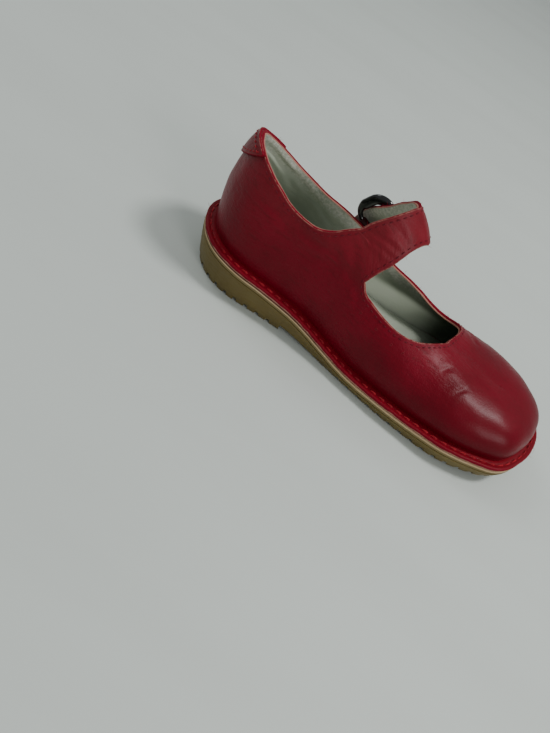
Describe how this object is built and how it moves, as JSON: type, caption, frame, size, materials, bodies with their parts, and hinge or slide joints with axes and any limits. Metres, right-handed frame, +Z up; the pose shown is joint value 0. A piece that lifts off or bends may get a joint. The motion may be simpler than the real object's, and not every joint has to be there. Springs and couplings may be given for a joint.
{
  "type": "mary jane shoe",
  "caption": "Child's left mary jane shoe: hollow stitched-down leather upper with a buckled instep strap, thin midsole and lugged gum sole with a low heel.",
  "frame": {"origin": "on the floor under the middle of the shoe's bounding box", "axes": "+X from heel to toe, +Y to the outer (lateral) side of the left foot, +Z up"},
  "size_m": [0.18, 0.0676, 0.0744],
  "materials": {
    "upper_leather": "deep red smooth leather, semi-gloss, raw pinkish cut edges, tone-on-tone red stitching",
    "gum_rubber": "translucent yellow-olive gum rubber, satin",
    "midsole": "thin cream runner sole, matt",
    "insole": "pale grey-green leather footbed, matt",
    "buckle_metal": "black nickel, glossy"
  },
  "bodies": {
    "root": {"outsole": "gum_rubber", "midsole": "midsole", "upper": "upper_leather", "insole": "insole", "heel_tab": "upper_leather", "buckle_frame": "buckle_metal", "buckle_prong": "buckle_metal", "buckle_tab": "upper_leather"}
  },
  "joints": []
}
